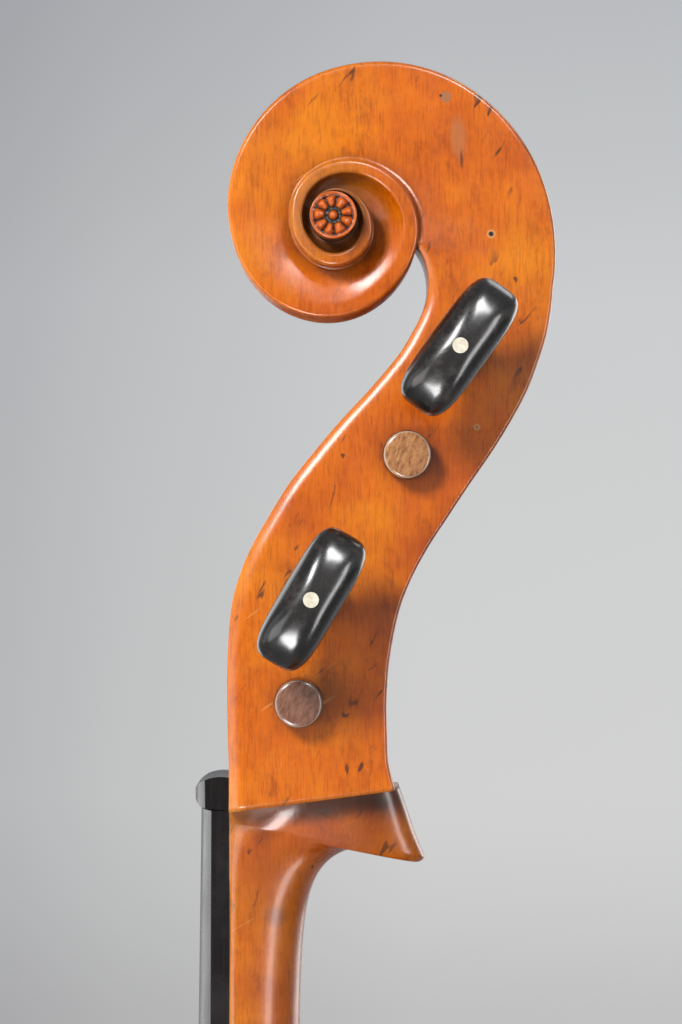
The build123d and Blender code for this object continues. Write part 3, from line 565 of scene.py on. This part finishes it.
print("neck")
neckShape = {
    # height at the glue face, back and up of the end, half widths front and back, squareness, hollow
    "sections": (
        (0.0, 49.1, 6.5, 17.4, 16.6, 7, 0.02), (-0.7, 50.7, 2.0, 17.3, 15.9, 6.2, 0.02),
        (-1.4, 52.3, -2.9, 17.2, 15.1, 5.4, 0.03), (-2.1, 53.9, -7.6, 17.1, 14.2, 4.7, 0.04),
        (-2.8, 55.7, -12.0, 17.0, 13.2, 4.1, 0.05), (-3.2, 56.5, -14.6, 16.9, 12.5, 3.7, 0.05),
        (-3.7, 54.4, -15.9, 16.8, 12.4, 3.3, 0.04), (-5.0, 49.8, -14.4, 16.7, 12.8, 3.0, 0.03),
        (-7.0, 45.0, -12.9, 16.6, 13.2, 2.8, 0.02), (-9.4, 40.4, -12.0, 16.5, 13.7, 2.7, 0.01),
        (-12.0, 36.6, -11.9, 16.4, 14.2, 2.5, 0.0), (-15.0, 33.0, -12.8, 16.4, 14.8, 2.4, 0.0),
        (-19.0, 29.4, -14.9, 16.5, 15.4, 2.35, 0.0), (-23.5, 26.4, -18.0, 16.5, 15.9, 2.3, 0.0),
        (-28.5, 24.2, -22.0, 16.6, 16.3, 2.3, 0.0), (-34.0, 22.5, -27.6, 16.7, 16.6, 2.3, 0.0),
        (-41.0, 21.4, -35.0, 16.9, 16.9, 2.3, 0.0), (-49, 20.7, -45.0, 17.2, 17.2, 2.3, 0.0),
        (-62, 20.2, -60.5, 17.6, 17.6, 2.3, 0.0),
        (-90, 20.2, -90, 18.4, 18.4, 2.3, 0.0), (-130, 20.7, -130, 19.5, 19.5, 2.3, 0.0),
        (-170, 21.3, -171, 20.6, 20.6, 2.3, 0.0), (-192, 22.3, -197, 21.1, 21.1, 2.4, 0.0),
        (-207, 26.5, -214, 21.6, 20.6, 2.8, 0.0), (-219, 36, -226.6, 21.9, 19.6, 3.6, 0.0),
        (-232, 58, -236.6, 22.2, 18.6, 5, 0.0), (-247, 96, -240.6, 22.6, 17.6, 7, 0.0),
        (-262, 136.2, -241.4, 23.0, 16.8, 9, 0.0),
    ),
    "around": 20,
    "between": 5,
}


def makeNeck(material):
    sections = [Vector(s) for s in neckShape["sections"]]
    fine = []
    ends = [sections[0] * 2 - sections[1]] + sections + [sections[-1]]
    for four in zip(ends, ends[1:], ends[2:], ends[3:]):
        fine.extend(between(*four, n / neckShape["between"]) for n in range(neckShape["between"]))
    fine.append(sections[-1])
    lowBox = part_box("neck")[0]
    rootUp = [(lowBox[2] - nutPoint.z) * 1000, (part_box("neck")[1][1] - nutPoint.y) * 1000]
    # the root's last section lies level in the body's mortise
    endBack = rootUp[1] * cos(tilt) - rootUp[0] * sin(tilt)
    endUp = rootUp[1] * sin(tilt) + rootUp[0] * cos(tilt)
    fine.append(Vector((-291.3, endBack - 0.1, endUp + 0.2, 23.4, 16.8, 9, 0)))
    points, faces, grid = [], [], []
    count = neckShape["around"]
    for front, back, up, wide, narrow, square, hollow in fine:
        row = []
        square = max(square, 2.1)
        for n in range(2 * count + 1):
            turn = pi / 2 * (n / count) if n <= count else pi / 2 * (2 - n / count)
            t = max(sin(turn), 0) ** (2 / square) if n != count else 1.0
            out = max(cos(turn), 0) ** (2 / square) if n != count else 0.0
            half = mix(wide, narrow, t) * (1 - hollow * sin(pi * min(t, 1)))
            x = half * out * (1 if n <= count else -1)
            row.append((back * t, mix(front, up, t), x))
        grid.append(row)
    addStrip(points, faces, grid)
    width = len(grid[0])
    for r in range(len(grid) - 1):
        faces.append((r * width, (r + 1) * width, (r + 2) * width - 1, (r + 1) * width - 1))
    faces.append(tuple(range(width)))
    faces.append(tuple(range((len(grid) - 1) * width, len(grid) * width)))
    return makeObject("neck_carved", points, faces, "body", ["neck"], material, 0.00002)


chinDirtAndShade = [
    # dirt and painted shade in a dark band along the shoulder line, under the pegbox's ledge
    (neckPoint(16, 26, 1.6), 0.0032, srgb(60, 32, 18), 0.7, 0.7, (0.3, 0.12, 1.0), -0.01),
    (neckPoint(16, 44, 2.4), 0.0055, srgb(40, 32, 28), 0.85, 0.8, (0.3, 0.6, 1.0), 0.0),
    (neckPoint(16, 27, -0.6), 0.003, srgb(40, 26, 20), 0.7, 0.9, (0.3, 0.5, 1.2), 0.0),
    (neckPoint(14, 36, -9.0), 0.005, srgb(150, 62, 14), 0.6, 0.6, (0.3, 0.35, 1.0), tilt - 0.1),
    (neckPoint(16, 10, -16), 0.007, srgb(150, 52, 8), 0.55, 0.9, (0.3, 1.0, 0.7), 0.0),
    (neckPoint(16, 13.5, -30.5), 0.0028, srgb(120, 62, 40), 0.6, 0.5, (0.3, 1, 1), 0.0),
    # the same dark band of dirt and painted shade under the shoulder near the nut
    (neckPoint(16, 10, -4.5), 0.0026, srgb(96, 44, 20), 0.6, 0.7, (0.3, 0.9, 0.6), 0.3),
]
neckVarnish = makeVarnish("neck varnish", 0.3, darker=0.12, spots=chinDirtAndShade)
makeNeck(neckVarnish)

print("pegs")
pegShape = {
    "thin": 7.0, "taper": 1 / 60, "collar": 8.2, "collarWidth": 3.5, "stem": 5.0,
    "stemRadius": 5.6, "grip": 27.0, "width": 42.2, "thick": 17.0, "around": 56,
    "shine": 0.3, "coat": 0.5, "coatRoughness": 0.17,
}
pegLean = {"c": 22.0, "a": 30.5, "g": 48.0, "d": 36.0}


def pegWood(name, endTint=None, endPlace=None, rim=None):
    material, tree, shader = newMaterial(name)
    streaks = noise(tree, place(tree, (40, 300, 300)), 1.2, 4, 0.65)
    colour = ramp(tree, streaks, [(0.35, srgb(12, 9, 8)), (0.6, srgb(26, 21, 18)), (0.78, srgb(50, 38, 30))])
    dust = noise(tree, place(tree), 130, 4, 0.75)
    dustShare = ramp(tree, dust, [(0.56, (0, 0, 0)), (0.75, (0.22, 0.22, 0.22))])
    colour = blendColour(tree, colour, srgb(120, 108, 98), dustShare)
    if endTint:
        # the cut end shows its rings and flecks
        rings = noise(tree, place(tree, (1, 300, 110), 0.5), 3.0, 4, 0.7)
        face = ramp(tree, rings, [(0.32, endTint[0]), (0.5, endTint[1]), (0.7, endTint[2])])
        geometry = tree.nodes.new("ShaderNodeNewGeometry")
        parts = tree.nodes.new("ShaderNodeSeparateXYZ")
        tree.links.new(geometry.outputs["Normal"], parts.inputs[0])
        across = maths(tree, "ABSOLUTE", parts.outputs[0])
        flat = ramp(tree, across, [(0.55, (0, 0, 0)), (0.9, (1, 1, 1))])
        where = spotMask(tree, endPlace, 0.0072, 0.05, (0.3, 1, 1))
        colour = blendColour(tree, colour, face, maths(tree, "MULTIPLY", flat, where))
        if rim:
            # a pale rim round the rounded end: worn wood and a painted highlight on the edge
            stops = [(0.35, (0, 0, 0)), (0.62, (1, 1, 1)), (0.8, (1, 1, 1)), (0.93, (0, 0, 0))]
            edge = ramp(tree, across, stops)
            colour = blendColour(tree, colour, rim, maths(tree, "MULTIPLY", edge, where))
    tree.links.new(colour, shader.inputs["Base Color"])
    rough = ramp(tree, dust, [(0.35, (0.2, 0.2, 0.2)), (0.7, (0.34, 0.34, 0.34))])
    tree.links.new(rough, shader.inputs["Roughness"])
    shader.inputs["Specular IOR Level"].default_value = pegShape["shine"]
    shader.inputs["Coat Weight"].default_value = pegShape["coat"]
    shader.inputs["Coat Roughness"].default_value = pegShape["coatRoughness"]
    bump(tree, shader, streaks, 0.08, 0.0002)
    return material


def pegSections(name):
    # distance along the peg, half width across the leaf, half thickness, squareness
    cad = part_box("peg_" + name)
    side = pegPlaces[name][2]
    low, high = sorted((side * cad[0][0] * 1000, side * cad[1][0] * 1000))
    grip = high - pegShape["grip"]
    stem = grip - pegShape["stem"]
    collar = stem - pegShape["collarWidth"]

    def shaft(z):
        return pegShape["thin"] + (z - low) * pegShape["taper"]

    thin = shaft(low)
    rows = [(low, 0.01, 0.01, 2)]
    for z, r in ((0.03, thin * 0.55), (0.12, thin - 1.0), (0.45, thin - 0.3), (1.1, thin - 0.02)):
        rows.append((low + z, r, r, 2))
    for n in range(1, 9):
        z = mix(low + 1.1, collar - 0.3, n / 8)
        rows.append((z, shaft(z), shaft(z), 2))
    big, slim = pegShape["collar"], pegShape["stemRadius"]
    for z, r in ((0.0, shaft(collar) + 0.4), (0.3, big - 1.3), (0.9, big - 0.3), (1.75, big),
                 (2.6, big - 0.3), (3.2, big - 1.3), (3.5, slim + 1.0), (4.3, slim + 0.1)):
        rows.append((collar + z, r, r, 2))
    wide, thick = pegShape["width"] / 2, pegShape["thick"] / 2
    leaf = ((-1.5, 5.6, 5.6, 2), (0.5, 6.4, 5.9, 2.1), (2.5, 9.0, 6.2, 2.3), (5.0, 13.6, 6.6, 2.7),
            (8.5, 18.2, 7.1, 3.2), (12.5, wide - 0.6, 7.9, 3.6), (16.0, wide, thick, 4.0),
            (18.4, wide - 0.2, thick, 4.2), (20.2, wide - 1.0, thick - 0.2, 4.2),
            (21.9, wide - 2.4, thick - 0.7, 4.0), (23.5, wide - 4.6, thick - 1.5, 3.7),
            (24.9, wide - 7.6, thick - 2.6, 3.3), (26.0, wide - 11.6, thick - 4.2, 2.9),
            (26.7, wide - 16, thick - 6.0, 2.5), (27.0, 0.02, 0.02, 2.2))
    for z, across, through, square in leaf:
        rows.append((grip + z, across, through, square))
    return rows, side


def makePeg(name, material):
    rows, side = pegSections(name)
    back, up = pegPlaces[name][:2]
    lean = radians(pegLean[name])
    around = pegShape["around"]
    points, faces = [], []
    for z, across, through, square in rows:
        for n in range(around):
            turn = 2 * pi * n / around
            p = abs(cos(turn)) ** (2 / square) * across * (1 if cos(turn) >= 0 else -1)
            q = abs(sin(turn)) ** (2 / square) * through * (1 if sin(turn) >= 0 else -1)
            atBack = back + p * sin(lean) + q * cos(lean)
            points.append(neckPoint(side * z, atBack, up + p * cos(lean) - q * sin(lean)))
    for r in range(len(rows) - 1):
        for n in range(around):
            a, b = r * around + n, r * around + (n + 1) % around
            faces.append((a, b, b + around, a + around))
    node = "peg_" + name
    thing = makeObject("peg_turned_" + name, points, faces, node, [node], material, 0.00003)
    rounding = thing.modifiers.new("rounding", "SUBSURF")
    rounding.levels = rounding.render_levels = 1


# each cut end's ring colours, then its pale rim: worn wood and a painted highlight
pegEnds = {
    "g": ((srgb(108, 64, 34), srgb(172, 114, 66), srgb(198, 146, 94)), srgb(186, 164, 140)),
    "c": ((srgb(96, 58, 42), srgb(130, 86, 66), srgb(152, 108, 88)), srgb(176, 150, 132)),
}
for pegName, (pegBack, pegUp, pegSide) in pegPlaces.items():
    if pegName in pegEnds:
        farEnd = neckPoint(-pegSide * 30, pegBack, pegUp)
        wood = pegWood("peg wood " + pegName, pegEnds[pegName][0], farEnd, pegEnds[pegName][1])
    else:
        wood = pegWood("peg wood " + pegName)
    makePeg(pegName, wood)

print("finishes")


def makeEbony(name):
    material, tree, shader = newMaterial(name)
    grain = noise(tree, place(tree, (420, 420, 18), tilt), 1.4, 4, 0.7)
    colour = ramp(tree, grain, [(0.34, srgb(7, 5, 5)), (0.55, srgb(15, 11, 11)), (0.75, srgb(34, 25, 22))])
    smear = noise(tree, place(tree), 45, 4, 0.7)
    smearShare = ramp(tree, smear, [(0.5, (0, 0, 0)), (0.8, (0.07,) * 3)])
    colour = blendColour(tree, colour, srgb(120, 112, 106), smearShare)
    tree.links.new(colour, shader.inputs["Base Color"])
    rough = ramp(tree, smear, [(0.3, (0.2, 0.2, 0.2)), (0.75, (0.34, 0.34, 0.34))])
    tree.links.new(rough, shader.inputs["Roughness"])
    shader.inputs["Specular IOR Level"].default_value = 0.22
    bump(tree, shader, grain, 0.1, 0.0002)
    return material


def makeSpruce(name, bare=False):
    material, tree, shader = newMaterial(name)
    rings = tree.nodes.new("ShaderNodeTexWave")
    rings.wave_type = "BANDS"
    rings.bands_direction = "X"
    rings.inputs["Scale"].default_value = 130
    rings.inputs["Distortion"].default_value = 1.2
    rings.inputs["Detail"].default_value = 2
    rings.inputs["Detail Scale"].default_value = 0.6
    tree.links.new(place(tree, (1, 1, 0.06)), rings.inputs["Vector"])
    light, dark = (srgb(222, 132, 36), srgb(186, 92, 22))
    if bare:
        light, dark = (srgb(214, 178, 128), srgb(186, 142, 92))
    colour = ramp(tree, rings.outputs["Fac"], [(0.25, light), (0.85, dark)])
    clouds = noise(tree, place(tree), 7, 4)
    shade = ramp(tree, clouds, [(0.3, (0.78, 0.7, 0.62)), (0.7, (1.08, 1.06, 1.04))])
    colour = blendColour(tree, colour, shade, 0.8, "MULTIPLY")
    silk = noise(tree, place(tree, (60, 60, 9)), 3, 4, 0.6)
    sheen = ramp(tree, silk, [(0.4, (0.9, 0.86, 0.82)), (0.65, (1.05, 1.04, 1.03))])
    colour = blendColour(tree, colour, sheen, 0.7, "MULTIPLY")
    tree.links.new(colour, shader.inputs["Base Color"])
    shader.inputs["Roughness"].default_value = 0.6 if bare else 0.32
    shader.inputs["Coat Weight"].default_value = 0.0 if bare else 0.35
    bump(tree, shader, rings.outputs["Fac"], 0.1, 0.0003)
    return material


def makeBone(name):
    material, tree, shader = newMaterial(name)
    cells = noise(tree, place(tree), 700, 3)
    colour = ramp(tree, cells, [(0.35, srgb(214, 202, 176)), (0.65, srgb(240, 233, 214))])
    tree.links.new(colour, shader.inputs["Base Color"])
    shader.inputs["Roughness"].default_value = 0.34
    return material


def makeMetal(name, low, high, rough, brushed):
    material, tree, shader = newMaterial(name)
    streaks = noise(tree, place(tree, brushed), 2, 4, 0.7)
    tree.links.new(ramp(tree, streaks, [(0.3, low), (0.7, high)]), shader.inputs["Base Color"])
    worn = ramp(tree, streaks, [(0.3, (rough,) * 3), (0.7, (rough + 0.14,) * 3)])
    tree.links.new(worn, shader.inputs["Roughness"])
    shader.inputs["Metallic"].default_value = 1
    bump(tree, shader, streaks, 0.05, 0.0001)
    return material


def makeStrip(name, low, high):
    material, tree, shader = newMaterial(name)
    grain = noise(tree, place(tree), 300, 3)
    tree.links.new(ramp(tree, grain, [(0.35, low), (0.65, high)]), shader.inputs["Base Color"])
    shader.inputs["Roughness"].default_value = 0.4
    return material


finishes = {
    "maple_varnished": makeVarnish("maple varnish", 0.5, 0.0, False),
    "spruce_varnished": makeSpruce("spruce varnish"),
    "inner_spruce": makeSpruce("bare spruce", bare=True),
    "ebony": makeEbony("ebony"),
    "plug_wood": makeEbony("plug ebony"),
    "bone_dots": makeBone("bone"),
    "brass_fittings": makeMetal("brass", srgb(176, 134, 62), srgb(214, 176, 98), 0.26, (300, 300, 30)),
    "steel_rod": makeMetal("steel", srgb(150, 152, 156), srgb(196, 198, 202), 0.2, (400, 400, 8)),
    "purfling_black": makeStrip("black strip", srgb(20, 16, 14), srgb(42, 34, 28)),
    "purfling_white": makeStrip("pale strip", srgb(190, 150, 96), srgb(216, 178, 122)),
}
slotOf = {row["node"]: row["material_slot"] for row in frame["record"]["subparts"]}
for nodeName, part in frame["nodes"].items():
    if slotOf[nodeName] in finishes:
        part.data.materials.clear()
        part.data.materials.append(finishes[slotOf[nodeName]])
softEdges = {"nut": 0.0011, "fingerboard": 0.0006, "saddle": 0.0008, "endpin_ferrule": 0.0003}
for nodeName, width in softEdges.items():
    bevel = frame["nodes"][nodeName].modifiers.new("soft edge", "BEVEL")
    bevel.width = width
    bevel.segments = 3
    bevel.limit_method = "ANGLE"
    bevel.angle_limit = radians(24)

print("studio")
studio = {
    "distance": 1.1, "aim": (32.2, 86.2), "plane": 0.020, "lens": 134.6,
    "floor": 3.2, "floorGlow": 0.6, "air": 0.2,
    "sideways": ((0.07, srgb(182, 183, 185)), (0.21, srgb(191, 192, 193)), (0.6, srgb(206, 207, 207)),
                 (0.92, srgb(207, 208, 208))),
    "upright": ((0.06, (0.86, 0.85, 0.85)), (0.16, (0.97, 0.965, 0.96)), (0.25, (1.03, 1.03, 1.02)),
                (0.5, (1, 1, 1)), (0.69, (0.96, 0.965, 0.98)), (0.78, (0.89, 0.9, 0.91)),
                (0.95, (0.79, 0.8, 0.83))),
    # name, place from the head's middle, how far below it the lamp aims, width, height, watts, gloss only
    "headLamps": (
        ("key", (1.25, -0.55, 0.8), 0.0, 0.34, 0.4, 21, False),
        ("fill", (1.3, 0.5, -0.1), 0.0, 1.4, 1.4, 1.5, False),
        ("rim", (-0.5, 0.8, 0.9), 0.0, 0.6, 0.6, 4, False),
        ("strip", (0.9, 0.95, -0.45), 0.12, 0.3, 1.3, 14, True),
        ("above", (0.95, 0.42, 0.68), 0.0, 0.36, 0.36, 15, True),
        ("below", (0.95, -0.42, -0.66), 0.0, 0.34, 0.34, 11, True),
        ("grazing", (-0.9, -0.8, 0.1), 0.0, 0.6, 1.5, 5, False),
        ("front", (0.35, -1.3, 0.2), 0.0, 0.9, 0.9, 2.5, False),
    ),
    # name, place in the frame, width, watts
    "bodyLamps": (("bodyLight", (1.6, -1.9, 0.9), 1.4, 22), ("bodyBack", (-1.8, 1.6, 1.0), 1.4, 16)),
    "bodyMiddle": (0, 0, 0.4),
}
cameraData = bpy.data.cameras.new("camera")
cameraData.lens = studio["lens"]
cameraData.sensor_width = 36
cameraData.sensor_fit = "AUTO"
camera = bpy.data.objects.new("camera", cameraData)
bpy.context.scene.collection.objects.link(camera)
spot = neckPoint((studio["distance"] + studio["plane"]) * 1000, *studio["aim"])
turned = Matrix((backAxis, upAxis, Vector((1, 0, 0)))).transposed()
camera.matrix_world = Matrix.Translation(spot) @ turned.to_4x4()
bpy.context.scene.camera = camera


def lamp(name, where, target, width, height, power, glossOnly=False):
    data = bpy.data.lights.new(name, "AREA")
    data.shape = "RECTANGLE"
    data.size = width
    data.size_y = height
    data.energy = power
    thing = bpy.data.objects.new(name, data)
    thing.location = where
    thing.rotation_euler = (target - where).to_track_quat("-Z", "Y").to_euler()
    thing.visible_diffuse = not glossOnly
    bpy.context.scene.collection.objects.link(thing)


headMiddle = neckPoint(0, 35, 100)
for lampName, offset, drop, width, height, power, glossOnly in studio["headLamps"]:
    lamp(lampName, headMiddle + Vector(offset), headMiddle - upAxis * drop, width, height, power, glossOnly)
for lampName, where, width, power in studio["bodyLamps"]:
    lamp(lampName, Vector(where), Vector(studio["bodyMiddle"]), width, width, power)


def makeFloor():
    material, tree, shader = newMaterial("studio floor")
    soft = noise(tree, place(tree), 1.3, 2)
    paint = ramp(tree, soft, [(0.3, srgb(186, 188, 191)), (0.7, srgb(196, 198, 201))])
    tree.links.new(paint, shader.inputs["Base Color"])
    shader.inputs["Roughness"].default_value = 0.9
    # a little of the floor's own pale colour for the camera, with the shadow still on it
    glow = tree.nodes.new("ShaderNodeEmission")
    glow.inputs["Color"].default_value = (*srgb(200, 202, 204), 1)
    rays = tree.nodes.new("ShaderNodeLightPath")
    both = tree.nodes.new("ShaderNodeMixShader")
    share = maths(tree, "MULTIPLY", rays.outputs["Is Camera Ray"], studio["floorGlow"])
    tree.links.new(share, both.inputs[0])
    tree.links.new(shader.outputs[0], both.inputs[1])
    tree.links.new(glow.outputs[0], both.inputs[2])
    tree.links.new(both.outputs[0], tree.nodes["Material Output"].inputs["Surface"])
    bm = bmesh.new()
    bmesh.ops.create_circle(bm, cap_ends=True, segments=96, radius=studio["floor"])
    mesh = bpy.data.meshes.new("floor")
    bm.to_mesh(mesh)
    bm.free()
    floor = bpy.data.objects.new("floor", mesh)
    bpy.context.scene.collection.objects.link(floor)
    mesh.materials.append(material)


makeFloor()


def makeAir():
    # a pale backdrop seen by the camera, glass and metal; soft plain light for everything else
    world = bpy.data.worlds.new("studio air")
    bpy.context.scene.world = world
    world.use_nodes = True
    tree = world.node_tree
    light = tree.nodes["Background"]
    light.inputs["Color"].default_value = (0.82, 0.85, 0.9, 1)
    light.inputs["Strength"].default_value = studio["air"]
    coordinates = tree.nodes.new("ShaderNodeTexCoord")
    parts = tree.nodes.new("ShaderNodeSeparateXYZ")
    turn = tree.nodes.new("ShaderNodeMapping")
    turn.inputs["Rotation"].default_value = (tilt, 0, 0)
    tree.links.new(coordinates.outputs["Generated"], turn.inputs["Vector"])
    tree.links.new(turn.outputs["Vector"], parts.inputs[0])
    across = maths(tree, "MULTIPLY_ADD", parts.outputs[1], 5.0, True)
    across.node.inputs[2].default_value = 0.5
    along = maths(tree, "MULTIPLY_ADD", parts.outputs[2], 3.4, True)
    along.node.inputs[2].default_value = 0.5
    sideways = ramp(tree, across, studio["sideways"])
    upright = ramp(tree, along, studio["upright"])
    seen = tree.nodes.new("ShaderNodeBackground")
    tree.links.new(blendColour(tree, sideways, upright, 1.0, "MULTIPLY"), seen.inputs["Color"])
    rays = tree.nodes.new("ShaderNodeLightPath")
    share = maths(tree, "ADD", rays.outputs["Is Camera Ray"], rays.outputs["Is Glossy Ray"])
    share = maths(tree, "ADD", share, rays.outputs["Is Transmission Ray"], True)
    both = tree.nodes.new("ShaderNodeMixShader")
    tree.links.new(share, both.inputs[0])
    tree.links.new(light.outputs[0], both.inputs[1])
    tree.links.new(seen.outputs[0], both.inputs[2])
    tree.links.new(both.outputs[0], tree.nodes["World Output"].inputs["Surface"])


makeAir()

bpy.context.scene.view_settings.view_transform = "Standard"
